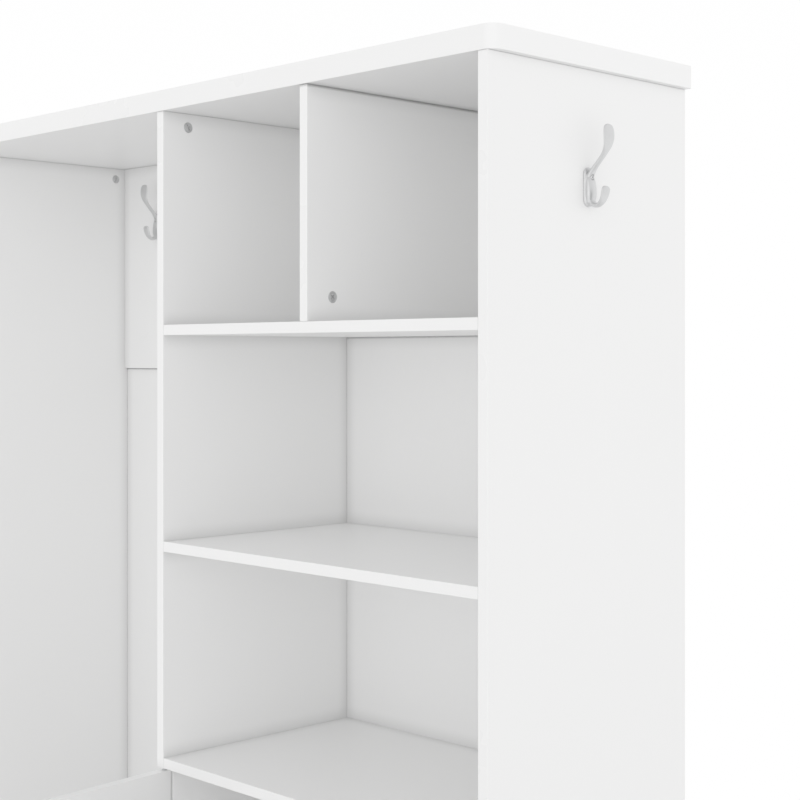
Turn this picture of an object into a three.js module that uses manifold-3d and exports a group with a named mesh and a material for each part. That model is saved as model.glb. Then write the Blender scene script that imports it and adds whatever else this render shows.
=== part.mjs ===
// Hall tree: an open coat bay with hooks and a shoe bench on the left, and a column of shelves
// over a two-door cabinet on the right. Millimetres, +Z up, the front faces -Y. The origin is on
// the floor, under the middle of the foot below the central divider.
import * as THREE from 'three';
import { mergeVertices } from 'three/addons/utils/BufferGeometryUtils.js';
import Module from 'manifold-3d';

const wasm = await Module();
wasm.setup();

// ---- Driving dimensions ----
const CARCASS_WIDTH = 1290;
const CARCASS_DEPTH = 395;
const HEIGHT = 1803;
const BOARD = 15;
const THICK_BOARD = 30;
const SHEET = 3;
const FIT = 0.3; // clearance kept between pieces that meet

const TOP_OVERHANG_SIDE = 11;
const TOP_OVERHANG_FRONT = 2;
const TOP_FRONT_CORNER_RADIUS = 18;
const TOP_BACK_CORNER_RADIUS = 3;

const CUBBY_HEIGHT = 312.5;
const SHELF_CLEAR_HEIGHT = 301;
const SEAT_HEIGHT = 450;
const PLINTH_HEIGHT = 60;
const PLINTH_LIFT = 8;
const BENCH_PLINTH_SETBACK = 20;
const COLUMN_BACK_DEPTH = 364; // front plane to the face of the column's back panels
const HOOK_BOARD_DEPTH = 370; // front plane to the face of the hook board
const HOOK_BOARD_HEIGHT = 381;
const BAY_BACK_DEPTH = 376; // front plane to the face of the bay's back panels
const GROOVE_DEPTH = 4;
const CABINET_SHELF_SETBACK = 20;

const DOOR_BACK_GAP = 2.5; // closed door to the cabinet behind it
const DOOR_SIDE_GAP = 2.5;
const DOOR_MEETING_GAP = 3;
const DOOR_TOP_GAP = 5;
const DOOR_BOTTOM_GAP = 3;
const DOOR_EDGE_RADIUS = 3;
const LEFT_DOOR_OPENING = 85; // degrees that the left door stands open
const KNOB_INSET = 35;
const KNOB_DROP = 150;

const PIN_RADIUS = 2.2;
const BUSH_BORE_RADIUS = 2.6;
const BUSH_RADIUS = 4;
const BUSH_LENGTH = 9;
const BUSH_HOLE_DEPTH = 12;
const PIN_SEAT = 14; // length of a pivot pin inside the door
const PIN_REACH = 13; // length of a pivot pin outside the door
const KNOB_BOLT_RADIUS = 1.6;
const KNOB_BOLT_DEPTH = 10; // reach of the bolt into the knob

const CAM_RADIUS = 7.5;
const CAM_DEPTH = 12;
const CAM_SLOT_WIDTH = 1.6;
const CAM_SLOT_DEPTH = 2;
const CAM_SETBACK = 45.5; // front plane to a front cam
const CAM_DROP = 20; // top panel to the cams below it
const CUBBY_CAM_RISE = 33; // cubby shelf to the cam above it
const LEFT_CAM_FROM_HOOK_BOARD = 20;

const FOOT_HEIGHT = 5;
const FOOT_RADIUS = 7;
const FOOT_NAIL_LENGTH = 12;
const FOOT_NAIL_RADIUS = 1.2;
const FOOT_INSET = 45;

const BAY_HOOK_COUNT = 3;
const BAY_HOOK_FROM_WALL = 111;
const BAY_HOOK_DROP = 116; // top panel to the middle of a bay hook's plate
const SIDE_HOOK_DROP = 147.5;
const SIDE_HOOK_SETBACK = 186;
const HOOK_PLATE_WIDTH = 19;
const HOOK_PLATE_HEIGHT = 50;
const HOOK_PLATE_THICKNESS = 3.5;
const HOOK_SCREW_RISE = 12; // middle of the plate to its screw
const HOOK_SCREW_SEAT = 6; // wall to the seat of the screw's head
const HOOK_PEG_RISE = -13; // middle of the plate to the peg that keeps the hook upright
const HOOK_PEG_RADIUS = 2;
const HOOK_PEG_LENGTH = 5;
const SCREW_RADIUS = 1.8;
const SCREW_LENGTH = 17;
const SCREW_HEAD_RADIUS = 3.4;
const SCREW_HEAD_HEIGHT = 2;

const CATCH_WIDTH = 84;
const CATCH_DEPTH = 14;
const CATCH_HEIGHT = 12;
const STRIKE_FROM_MEETING = 24;
const STRIKE_WIDTH = 26;
const STRIKE_HEIGHT = 9;
const STRIKE_THICKNESS = 1.2;

const SHELF_PIN_RADIUS = 2.5;
const SHELF_PIN_REACH = 8; // length of a shelf pin inside the upright and again outside it
const SHELF_PIN_INSET = 50; // shelf's front and back edges to its pins

// ---- Planes worked out from the driving dimensions ----
const FRONT = -CARCASS_DEPTH / 2;
const BACK = CARCASS_DEPTH / 2;
const LOWER_FRONT = FRONT + BOARD + DOOR_BACK_GAP;
const OUTER = CARCASS_WIDTH / 2;
const INNER = OUTER - BOARD;
const HALF_BOARD = BOARD / 2;
const COLUMN_MIDDLE = (HALF_BOARD + INNER) / 2;
const BAY_MIDDLE = -COLUMN_MIDDLE;

const TOP_UNDERSIDE = HEIGHT - THICK_BOARD;
const CUBBY_SHELF_TOP = TOP_UNDERSIDE - CUBBY_HEIGHT;
const MIDDLE_SHELF_TOP = CUBBY_SHELF_TOP - BOARD - SHELF_CLEAR_HEIGHT;
const CABINET_TOP = MIDDLE_SHELF_TOP - BOARD - SHELF_CLEAR_HEIGHT;
const CABINET_CEILING = CABINET_TOP - BOARD;
const FLOOR_BOARD_TOP = PLINTH_HEIGHT + BOARD;
const CABINET_SHELF_TOP = (FLOOR_BOARD_TOP + CABINET_CEILING + BOARD) / 2;
const SHELF_PIN_LEVEL = CABINET_SHELF_TOP - BOARD - FIT - SHELF_PIN_RADIUS;
const SEAT_UNDERSIDE = SEAT_HEIGHT - THICK_BOARD;

const COLUMN_SHEET_FACE = FRONT + COLUMN_BACK_DEPTH;
const BAY_SHEET_FACE = FRONT + BAY_BACK_DEPTH;
const HOOK_BOARD_FACE = FRONT + HOOK_BOARD_DEPTH;
const SHEET_TONGUE = GROOVE_DEPTH - FIT; // reach of a back panel into its grooves

const PIVOT_Y = FRONT + HALF_BOARD;
const RIGHT_DOOR_EDGE = INNER - DOOR_SIDE_GAP;
const RIGHT_PIVOT_X = RIGHT_DOOR_EDGE - HALF_BOARD;
const DOOR_WIDTH = (RIGHT_DOOR_EDGE + HALF_BOARD - DOOR_MEETING_GAP) / 2;
const DOOR_TOP = CABINET_CEILING - DOOR_TOP_GAP;
const DOOR_BOTTOM = PLINTH_HEIGHT + DOOR_BOTTOM_GAP;
const KNOB_REACH = DOOR_WIDTH - HALF_BOARD - KNOB_INSET; // pivot to knob
const KNOB_HEIGHT = DOOR_TOP - KNOB_DROP;
const DOOR_MEETING_X = DOOR_WIDTH - HALF_BOARD + DOOR_MEETING_GAP / 2;
const SHELF_PIN_FRONT_Y = LOWER_FRONT + CABINET_SHELF_SETBACK + SHELF_PIN_INSET;
const SHELF_PIN_BACK_Y = COLUMN_SHEET_FACE - SHELF_PIN_INSET;

// ---- Finishes ----
const finish = (colour, roughness, metalness) => () =>
  new THREE.MeshStandardMaterial({ color: colour, roughness, metalness });
const whiteBoard = finish(0xf1f1f0, 0.45, 0);
const whiteSheet = finish(0xececeb, 0.55, 0);
const satinMetal = finish(0xc9cacb, 0.35, 0.9);
const steel = finish(0xa9abad, 0.4, 0.9);
const greyPlastic = finish(0x8f9193, 0.55, 0);
const whitePlastic = finish(0xe6e6e4, 0.5, 0);

const hallTree = new THREE.Group();

function add(name, geometry, material, parent = hallTree) {
  const mesh = new THREE.Mesh(geometry, material());
  mesh.name = name;
  parent.add(mesh);
  return mesh;
}

// ---- Shapes ----
// A block between the low and high values of each axis.
function block([x0, x1], [y0, y1], [z0, z1]) {
  const geometry = new THREE.BoxGeometry(x1 - x0, y1 - y0, z1 - z0);
  return geometry.translate((x0 + x1) / 2, (y0 + y1) / 2, (z0 + z1) / 2);
}

// A rod that starts at a point and runs along +X, +Y or +Z.
function rod(radius, length, [x, y, z], axis, segments = 16) {
  const geometry = new THREE.CylinderGeometry(radius, radius, length, segments);
  geometry.translate(0, length / 2, 0);
  if (axis === 'x') geometry.rotateZ(-Math.PI / 2);
  if (axis === 'z') geometry.rotateX(Math.PI / 2);
  return geometry.translate(x, y, z);
}

// A turned piece. The profile holds [radius, height] pairs, heights along +Y.
function turned(profile, segments = 16) {
  return new THREE.LatheGeometry(profile.map(([r, h]) => new THREE.Vector2(r, h)), segments);
}

function toSolid(geometry) {
  const bare = geometry.clone();
  bare.deleteAttribute('normal');
  bare.deleteAttribute('uv');
  const merged = mergeVertices(bare);
  const mesh = new wasm.Mesh({
    numProp: 3,
    vertProperties: merged.attributes.position.array,
    triVerts: Uint32Array.from(merged.index.array),
  });
  return new wasm.Manifold(mesh);
}

function toGeometry(solid) {
  const mesh = solid.getMesh();
  const geometry = new THREE.BufferGeometry();
  geometry.setAttribute('position', new THREE.BufferAttribute(mesh.vertProperties, 3));
  geometry.setIndex(new THREE.BufferAttribute(mesh.triVerts, 1));
  return geometry;
}

const cut = (geometry, tools) =>
  toGeometry(tools.reduce((solid, tool) => solid.subtract(toSolid(tool)), toSolid(geometry)));

const join = (geometries) =>
  toGeometry(geometries.map(toSolid).reduce((solid, other) => solid.add(other)));

// ---- Cutters ----
// The groove for a back panel in the face of an upright at x, on the side given by direction.
function uprightGroove(x, direction, sheetFace, z0, z1) {
  const depth = x - direction * GROOVE_DEPTH;
  const range = [Math.min(x + direction, depth), Math.max(x + direction, depth)];
  return block(range, [sheetFace - FIT, sheetFace + SHEET + FIT], [z0, z1]);
}

// The groove for a back panel in the top (direction 1) or underside (-1) of a level board at z.
function levelGroove(z, direction, sheetFace, x0, x1) {
  const depth = z - direction * GROOVE_DEPTH;
  const range = [Math.min(z + direction, depth), Math.max(z + direction, depth)];
  return block([x0, x1], [sheetFace - FIT, sheetFace + SHEET + FIT], range);
}

const footHole = (x, y) =>
  rod(FOOT_NAIL_RADIUS + FIT, FOOT_NAIL_LENGTH + 1, [x, y, FOOT_HEIGHT - 1], 'z', 8);

const pivotHole = (x, y, z) => rod(BUSH_RADIUS + FIT, BUSH_HOLE_DEPTH, [x, y, z], 'z');

// The holes for the two shelf pins of the upright that starts at x.
const shelfPinHoles = (x) =>
  [SHELF_PIN_FRONT_Y, SHELF_PIN_BACK_Y].map((y) =>
    rod(SHELF_PIN_RADIUS + FIT, SHELF_PIN_REACH + 2, [x, y, SHELF_PIN_LEVEL], 'x', 12));

const camPocket = (x, y, z) => rod(CAM_RADIUS + FIT, CAM_DEPTH + 1, [x - CAM_DEPTH, y, z], 'x', 24);

// ---- Uprights, top and shelves ----
const FOOT_FRONT_Y = FRONT + FOOT_INSET;
const FOOT_BACK_Y = BACK - FOOT_INSET;
const PANEL_MIDDLE_X = OUTER - HALF_BOARD;
const DIVIDER_CAM = [HALF_BOARD, FRONT + CAM_SETBACK, TOP_UNDERSIDE - CAM_DROP];
const CUBBY_CAM = [
  COLUMN_MIDDLE + HALF_BOARD,
  FRONT + CAM_SETBACK,
  CUBBY_SHELF_TOP + CUBBY_CAM_RISE,
];
const LEFT_CAM = [
  -INNER,
  HOOK_BOARD_FACE - LEFT_CAM_FROM_HOOK_BOARD,
  TOP_UNDERSIDE - CAM_DROP,
];
const SIDE_HOOK_PLACE = [OUTER, FRONT + SIDE_HOOK_SETBACK, TOP_UNDERSIDE - SIDE_HOOK_DROP];

function roundedTopOutline(x0, x1, y0, y1) {
  const front = TOP_FRONT_CORNER_RADIUS;
  const back = TOP_BACK_CORNER_RADIUS;
  const shape = new THREE.Shape();
  shape.absarc(x1 - front, y0 + front, front, -Math.PI / 2, 0);
  shape.absarc(x1 - back, y1 - back, back, 0, Math.PI / 2);
  shape.absarc(x0 + back, y1 - back, back, Math.PI / 2, Math.PI);
  shape.absarc(x0 + front, y0 + front, front, Math.PI, Math.PI * 1.5);
  return shape;
}

function makeTopPanel() {
  const half = OUTER + TOP_OVERHANG_SIDE;
  const outline = roundedTopOutline(-half, half, FRONT - TOP_OVERHANG_FRONT, BACK);
  const slab = new THREE.ExtrudeGeometry(outline, {
    depth: THICK_BOARD,
    bevelEnabled: false,
    curveSegments: 6,
  });
  slab.translate(0, 0, TOP_UNDERSIDE);
  const groove = levelGroove(TOP_UNDERSIDE, -1, COLUMN_SHEET_FACE, HALF_BOARD + FIT, INNER - FIT);
  add('top_panel', cut(slab, [groove]), whiteBoard);
}

function makeUprights() {
  const fullHeight = [FOOT_HEIGHT, TOP_UNDERSIDE - FIT];
  const footHoles = (x) => [footHole(x, FOOT_FRONT_Y), footHole(x, FOOT_BACK_Y)];

  add('left_end_panel', cut(block([-OUTER, -INNER], [FRONT, BACK], fullHeight), [
    uprightGroove(-INNER, 1, BAY_SHEET_FACE, PLINTH_HEIGHT, TOP_UNDERSIDE + 1),
    camPocket(...LEFT_CAM),
    ...footHoles(-PANEL_MIDDLE_X),
  ]), whiteBoard);

  add('right_end_panel', cut(block([INNER, OUTER], [FRONT, BACK], fullHeight), [
    uprightGroove(INNER, -1, COLUMN_SHEET_FACE, PLINTH_HEIGHT, TOP_UNDERSIDE + 1),
    ...hookWallHoles().map((hole) => hole.rotateZ(Math.PI / 2).translate(...SIDE_HOOK_PLACE)),
    ...shelfPinHoles(INNER - 1),
    ...footHoles(PANEL_MIDDLE_X),
  ]), whiteBoard);

  const upperHeight = [CABINET_CEILING, TOP_UNDERSIDE - FIT];
  add('upper_divider', cut(block([-HALF_BOARD, HALF_BOARD], [FRONT, BACK], upperHeight), [
    uprightGroove(-HALF_BOARD, -1, BAY_SHEET_FACE, CABINET_CEILING - 1, TOP_UNDERSIDE + 1),
    uprightGroove(HALF_BOARD, 1, COLUMN_SHEET_FACE, CABINET_CEILING - 1, TOP_UNDERSIDE + 1),
    camPocket(...DIVIDER_CAM),
    pivotHole(0, PIVOT_Y, CABINET_CEILING),
  ]), whiteBoard);

  const lowerHeight = [FOOT_HEIGHT, CABINET_CEILING - FIT];
  add('lower_divider', cut(block([-HALF_BOARD, HALF_BOARD], [LOWER_FRONT, BACK], lowerHeight), [
    uprightGroove(-HALF_BOARD, -1, BAY_SHEET_FACE, PLINTH_HEIGHT, CABINET_CEILING + 1),
    uprightGroove(HALF_BOARD, 1, COLUMN_SHEET_FACE, PLINTH_HEIGHT, CABINET_CEILING + 1),
    ...shelfPinHoles(HALF_BOARD - SHELF_PIN_REACH - 1),
    footHole(0, 0),
  ]), whiteBoard);
}

function makeColumnShelves() {
  const span = [HALF_BOARD + FIT, INNER - FIT];
  const shelfDepth = [FRONT, COLUMN_SHEET_FACE - FIT];
  const shelf = (top) => block(span, shelfDepth, [top - BOARD, top]);
  add('cubby_shelf', shelf(CUBBY_SHELF_TOP), whiteBoard);
  add('middle_shelf', shelf(MIDDLE_SHELF_TOP), whiteBoard);

  const dividerSpan = [COLUMN_MIDDLE - HALF_BOARD, COLUMN_MIDDLE + HALF_BOARD];
  const dividerHeight = [CUBBY_SHELF_TOP + FIT, TOP_UNDERSIDE - FIT];
  const divider = block(dividerSpan, shelfDepth, dividerHeight);
  add('cubby_divider', cut(divider, [camPocket(...CUBBY_CAM)]), whiteBoard);

  add('cabinet_top', cut(block(span, [FRONT, BACK], [CABINET_CEILING, CABINET_TOP]), [
    levelGroove(CABINET_TOP, 1, COLUMN_SHEET_FACE, 0, OUTER),
    levelGroove(CABINET_CEILING, -1, COLUMN_SHEET_FACE, 0, OUTER),
    pivotHole(RIGHT_PIVOT_X, PIVOT_Y, CABINET_CEILING),
  ]), whiteBoard);
}

// ---- Bench ----
function makeBench() {
  const span = [-INNER + FIT, -HALF_BOARD - FIT];
  const depth = [LOWER_FRONT, BACK];
  const insideDepth = [LOWER_FRONT, BAY_SHEET_FACE - FIT];

  add('bench_seat', cut(block(span, depth, [SEAT_UNDERSIDE, SEAT_HEIGHT]), [
    levelGroove(SEAT_HEIGHT, 1, BAY_SHEET_FACE, -OUTER, 0),
    levelGroove(SEAT_UNDERSIDE, -1, BAY_SHEET_FACE, -OUTER, 0),
  ]), whiteBoard);
  add('bench_bottom', cut(block(span, depth, [PLINTH_HEIGHT, FLOOR_BOARD_TOP]), [
    levelGroove(FLOOR_BOARD_TOP, 1, BAY_SHEET_FACE, -OUTER, 0),
  ]), whiteBoard);

  const dividerHeight = [FLOOR_BOARD_TOP + FIT, SEAT_UNDERSIDE - FIT];
  const dividerSpan = [BAY_MIDDLE - HALF_BOARD, BAY_MIDDLE + HALF_BOARD];
  add('bench_divider', block(dividerSpan, insideDepth, dividerHeight), whiteBoard);

  const shelfTop = (FLOOR_BOARD_TOP + SEAT_UNDERSIDE + BOARD) / 2;
  const shelfHeight = [shelfTop - BOARD, shelfTop];
  add('shoe_shelf_left', block([span[0], dividerSpan[0] - FIT], insideDepth, shelfHeight),
    whiteBoard);
  add('shoe_shelf_right', block([dividerSpan[1] + FIT, span[1]], insideDepth, shelfHeight),
    whiteBoard);

  const plinthFront = LOWER_FRONT + BENCH_PLINTH_SETBACK;
  add('bench_plinth', block(span, [plinthFront, plinthFront + BOARD],
    [PLINTH_LIFT, PLINTH_HEIGHT - FIT]), whiteBoard);
}

// ---- Cabinet ----
function makeCabinet() {
  const span = [HALF_BOARD + FIT, INNER - FIT];
  add('cabinet_bottom', cut(block(span, [LOWER_FRONT, BACK], [PLINTH_HEIGHT, FLOOR_BOARD_TOP]), [
    levelGroove(FLOOR_BOARD_TOP, 1, COLUMN_SHEET_FACE, 0, OUTER),
  ]), whiteBoard);

  const shelfDepth = [LOWER_FRONT + CABINET_SHELF_SETBACK, COLUMN_SHEET_FACE - FIT];
  add('cabinet_shelf', block([span[0] + FIT, span[1] - FIT], shelfDepth,
    [CABINET_SHELF_TOP - BOARD, CABINET_SHELF_TOP]), whiteBoard);
  for (const [side, face] of [['left', HALF_BOARD], ['right', INNER]]) {
    for (const [end, y] of [['front', SHELF_PIN_FRONT_Y], ['back', SHELF_PIN_BACK_Y]]) {
      const start = [face - SHELF_PIN_REACH, y, SHELF_PIN_LEVEL];
      add(`${side}_${end}_shelf_pin`, rod(SHELF_PIN_RADIUS, SHELF_PIN_REACH * 2, start, 'x'), steel);
    }
  }

  // The plinth runs under the doors and in front of the lower divider.
  const plinthFront = FRONT + DOOR_BACK_GAP;
  const plinth = block([-HALF_BOARD, INNER - FIT], [plinthFront, plinthFront + BOARD - FIT],
    [PLINTH_LIFT, PLINTH_HEIGHT]);
  const holeFloor = PLINTH_HEIGHT - BUSH_HOLE_DEPTH;
  add('cabinet_plinth', cut(plinth, [
    pivotHole(0, PIVOT_Y, holeFloor),
    pivotHole(RIGHT_PIVOT_X, PIVOT_Y, holeFloor),
  ]), whiteBoard);

  const catchSpan = [DOOR_MEETING_X - CATCH_WIDTH / 2, DOOR_MEETING_X + CATCH_WIDTH / 2];
  const catchHeight = [CABINET_CEILING - FIT - CATCH_HEIGHT, CABINET_CEILING - FIT];
  add('double_door_catch', block(catchSpan, [LOWER_FRONT, LOWER_FRONT + CATCH_DEPTH], catchHeight),
    whitePlastic);
}

// ---- Back panels and hook board ----
function makeBacks() {
  const columnSpan = [HALF_BOARD - SHEET_TONGUE, INNER + SHEET_TONGUE];
  const baySpan = [-columnSpan[1], -columnSpan[0]];
  const sheet = (name, span, face, z0, z1) =>
    add(name, block(span, [face, face + SHEET], [z0, z1]), whiteSheet);

  sheet('column_back_panel', columnSpan, COLUMN_SHEET_FACE,
    CABINET_TOP - SHEET_TONGUE, TOP_UNDERSIDE - FIT);
  sheet('cabinet_back_panel', columnSpan, COLUMN_SHEET_FACE,
    FLOOR_BOARD_TOP - SHEET_TONGUE, CABINET_CEILING + SHEET_TONGUE);
  sheet('bay_back_panel', baySpan, BAY_SHEET_FACE,
    SEAT_HEIGHT - SHEET_TONGUE, TOP_UNDERSIDE - HOOK_BOARD_HEIGHT + SHEET_TONGUE);
  sheet('bench_back_panel', baySpan, BAY_SHEET_FACE,
    FLOOR_BOARD_TOP - SHEET_TONGUE, SEAT_UNDERSIDE + SHEET_TONGUE);

  const boardBottom = TOP_UNDERSIDE - HOOK_BOARD_HEIGHT;
  const board = block([-INNER + FIT, -HALF_BOARD - FIT], [HOOK_BOARD_FACE, HOOK_BOARD_FACE + BOARD],
    [boardBottom, TOP_UNDERSIDE - FIT]);
  add('hook_board', cut(board, [
    levelGroove(boardBottom, -1, BAY_SHEET_FACE, -OUTER, 0),
    ...bayHookPlaces().flatMap((place) =>
      hookWallHoles().map((hole) => hole.translate(...place))),
  ]), whiteBoard);
}

// ---- Hooks ----
// A hook is drawn with the wall as the plane y = 0 and the middle of its plate at the origin.
// It reaches out of the wall towards -Y.
const UPPER_ARM = [
  { out: 4, rise: 11, width: 13, thickness: 4.6 },
  { out: 7, rise: 18, width: 11, thickness: 5.4 },
  { out: 12, rise: 24.5, width: 9, thickness: 5.2 },
  { out: 18.7, rise: 31.5, width: 8.2, thickness: 5 },
  { out: 27, rise: 41, width: 10, thickness: 4.6 },
  { out: 31.6, rise: 49, width: 15.5, thickness: 4 },
  { out: 33.4, rise: 56.5, width: 20, thickness: 3.6 },
  { out: 33.6, rise: 64, width: 21.5, thickness: 3.4 },
  { out: 33, rise: 71, width: 19.5, thickness: 3.2 },
  { out: 32.5, rise: 76, width: 10, thickness: 2.4 },
];
const STEM = [
  { out: 3.4, rise: 16, width: 11, thickness: 3.6 },
  { out: 4.4, rise: 8, width: 14.5, thickness: 7 },
  { out: 4.9, rise: -2, width: 16, thickness: 8.4 },
  { out: 4.9, rise: -12, width: 15.5, thickness: 8.4 },
  { out: 4, rise: -21, width: 12, thickness: 5 },
];
const LOWER_ARM = [
  { out: 4, rise: -9, width: 14, thickness: 6 },
  { out: 6, rise: -17, width: 13.5, thickness: 7 },
  { out: 10, rise: -22, width: 12, thickness: 6 },
  { out: 16, rise: -23.4, width: 11, thickness: 5 },
  { out: 22.3, rise: -19.8, width: 12, thickness: 4.6 },
  { out: 26.6, rise: -12.6, width: 14.5, thickness: 4.2 },
  { out: 28.6, rise: -5, width: 16.5, thickness: 3.6 },
  { out: 28.8, rise: 0, width: 10, thickness: 2.4 },
];
const ARM_STEPS = 12;
const ARM_SIDES = 10;

// An arm of oval section that follows its stations and closes at both ends.
function makeArm(stations) {
  const path = new THREE.CatmullRomCurve3(
    stations.map(({ out, rise }) => new THREE.Vector3(0, -out, rise)));
  const sizes = new THREE.CatmullRomCurve3(
    stations.map(({ width, thickness }) => new THREE.Vector3(width, thickness, 0)));
  const positions = [];
  const indices = [];
  const across = new THREE.Vector3(1, 0, 0);
  for (let step = 0; step <= ARM_STEPS; step += 1) {
    const t = step / ARM_STEPS;
    const centre = path.getPoint(t);
    const size = sizes.getPoint(t);
    const through = path.getTangent(t).cross(across).normalize();
    for (let side = 0; side < ARM_SIDES; side += 1) {
      const angle = (side / ARM_SIDES) * Math.PI * 2;
      const point = centre.clone()
        .addScaledVector(across, Math.cos(angle) * size.x / 2)
        .addScaledVector(through, Math.sin(angle) * size.y / 2);
      positions.push(...point);
    }
  }
  for (let step = 0; step < ARM_STEPS; step += 1) {
    for (let side = 0; side < ARM_SIDES; side += 1) {
      const a = step * ARM_SIDES + side;
      const b = step * ARM_SIDES + (side + 1) % ARM_SIDES;
      indices.push(a, b, b + ARM_SIDES, a, b + ARM_SIDES, a + ARM_SIDES);
    }
  }
  const last = ARM_STEPS * ARM_SIDES;
  for (let side = 1; side < ARM_SIDES - 1; side += 1) {
    indices.push(0, side + 1, side);
    indices.push(last, last + side, last + side + 1);
  }
  const geometry = new THREE.BufferGeometry();
  geometry.setAttribute('position', new THREE.Float32BufferAttribute(positions, 3));
  geometry.setIndex(indices);
  return geometry;
}

function makeHookPlate() {
  const radius = HOOK_PLATE_WIDTH / 2;
  const straight = HOOK_PLATE_HEIGHT / 2 - radius;
  const bevel = 1;
  const outline = new THREE.Shape();
  outline.absarc(0, straight, radius - bevel, 0, Math.PI);
  outline.absarc(0, -straight, radius - bevel, Math.PI, Math.PI * 2);
  const plate = new THREE.ExtrudeGeometry(outline, {
    depth: HOOK_PLATE_THICKNESS - FIT - bevel * 2,
    bevelThickness: bevel,
    bevelSize: bevel,
    bevelSegments: 2,
    curveSegments: 8,
  });
  return plate.rotateX(Math.PI / 2).translate(0, -FIT - bevel, 0);
}

// A rod from one distance out of the wall to another, at a height above the plate's middle.
const hookRod = (radius, from, to, rise) => rod(radius, to - from, [0, -to, rise], 'y', 16);

function makeHookBody() {
  const peg = hookRod(HOOK_PEG_RADIUS, -HOOK_PEG_LENGTH, HOOK_PLATE_THICKNESS / 2, HOOK_PEG_RISE);
  const body = join([makeHookPlate(), makeArm(STEM), makeArm(UPPER_ARM), makeArm(LOWER_ARM), peg]);
  const clearOfBody = HOOK_SCREW_SEAT * 3;
  return cut(body, [
    hookRod(SCREW_RADIUS + FIT, -1, clearOfBody, HOOK_SCREW_RISE),
    hookRod(SCREW_HEAD_RADIUS + FIT, HOOK_SCREW_SEAT, clearOfBody, HOOK_SCREW_RISE),
  ]);
}

function makeHookScrew() {
  const seat = -HOOK_SCREW_SEAT - FIT;
  const crown = seat - SCREW_HEAD_HEIGHT;
  const tip = seat + SCREW_LENGTH;
  return turned([
    [0, crown],
    [SCREW_HEAD_RADIUS * 0.7, crown],
    [SCREW_HEAD_RADIUS, crown + SCREW_HEAD_HEIGHT / 2],
    [SCREW_HEAD_RADIUS, seat],
    [SCREW_RADIUS, seat],
    [SCREW_RADIUS, tip - SCREW_RADIUS],
    [0, tip],
  ], 12);
}

// The holes that a hook's screw and peg need in the board behind it.
function hookWallHoles() {
  return [
    hookRod(SCREW_RADIUS + FIT, -SCREW_LENGTH + HOOK_SCREW_SEAT - 1, 1, HOOK_SCREW_RISE),
    hookRod(HOOK_PEG_RADIUS + FIT, -HOOK_PEG_LENGTH - 1, 1, HOOK_PEG_RISE),
  ];
}

function bayHookPlaces() {
  const first = -INNER + BAY_HOOK_FROM_WALL;
  const last = -HALF_BOARD - BAY_HOOK_FROM_WALL;
  return Array.from({ length: BAY_HOOK_COUNT }, (_, index) => [
    first + (last - first) * index / (BAY_HOOK_COUNT - 1),
    HOOK_BOARD_FACE,
    TOP_UNDERSIDE - BAY_HOOK_DROP,
  ]);
}

function addHook(name, place, turn) {
  const group = new THREE.Group();
  group.position.set(...place);
  group.rotation.z = turn;
  hallTree.add(group);
  add(name, makeHookBody(), satinMetal, group);
  add(`${name}_screw`, makeHookScrew().translate(0, 0, HOOK_SCREW_RISE), satinMetal, group);
}

function makeHooks() {
  bayHookPlaces().forEach((place, index) => addHook(`bay_hook_${index + 1}`, place, 0));
  addHook('side_hook', SIDE_HOOK_PLACE, Math.PI / 2);
}

// ---- Doors ----
// A door is drawn closed, with its pivot axis at x = 0, y = 0. It runs along +X when direction
// is 1 and along -X when it is -1.
function makeDoorLeaf(direction) {
  const far = direction * (DOOR_WIDTH - HALF_BOARD);
  const near = -direction * HALF_BOARD;
  const arcCentre = near + direction * DOOR_EDGE_RADIUS;
  const arcLevel = HALF_BOARD - DOOR_EDGE_RADIUS;
  const nearAngle = direction > 0 ? Math.PI : 0;
  const quarter = direction * Math.PI / 2;
  const clockwise = direction < 0;
  const outline = new THREE.Shape();
  outline.moveTo(far, -HALF_BOARD);
  outline.lineTo(far, HALF_BOARD);
  outline.absarc(arcCentre, arcLevel, DOOR_EDGE_RADIUS, nearAngle - quarter, nearAngle, clockwise);
  outline.absarc(arcCentre, -arcLevel, DOOR_EDGE_RADIUS, nearAngle, nearAngle + quarter, clockwise);
  const leaf = new THREE.ExtrudeGeometry(outline, {
    depth: DOOR_TOP - DOOR_BOTTOM,
    bevelEnabled: false,
    curveSegments: 4,
  });
  leaf.translate(0, 0, DOOR_BOTTOM);
  return cut(leaf, [
    rod(PIN_RADIUS + FIT, PIN_SEAT + 2, [0, 0, DOOR_TOP - PIN_SEAT - 1], 'z', 12),
    rod(PIN_RADIUS + FIT, PIN_SEAT + 2, [0, 0, DOOR_BOTTOM - 1], 'z', 12),
    rod(KNOB_BOLT_RADIUS + FIT, BOARD * 2, [direction * KNOB_REACH, -BOARD, KNOB_HEIGHT], 'y', 12),
  ]);
}

// A pivot pin stands on y = 0 of the door's edge, with a collar that keeps it from sinking in.
function makePivotPin() {
  const collar = 1;
  return turned([
    [0, -PIN_SEAT],
    [PIN_RADIUS, -PIN_SEAT],
    [PIN_RADIUS, FIT],
    [BUSH_RADIUS, FIT],
    [BUSH_RADIUS, FIT + collar],
    [PIN_RADIUS, FIT + collar],
    [PIN_RADIUS, PIN_REACH - 1],
    [PIN_RADIUS - 0.6, PIN_REACH],
    [0, PIN_REACH],
  ]);
}

// A bush sits in its hole above y = 0, with a thin flange below.
function makeBush() {
  const flange = 0.8;
  const flangeRadius = BUSH_RADIUS + flange;
  return turned([
    [BUSH_BORE_RADIUS, -FIT / 2 - flange],
    [flangeRadius, -FIT / 2 - flange],
    [flangeRadius, -FIT / 2],
    [BUSH_RADIUS, -FIT / 2],
    [BUSH_RADIUS, BUSH_LENGTH],
    [BUSH_BORE_RADIUS, BUSH_LENGTH],
    [BUSH_BORE_RADIUS, -FIT / 2 - flange],
  ]);
}

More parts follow.
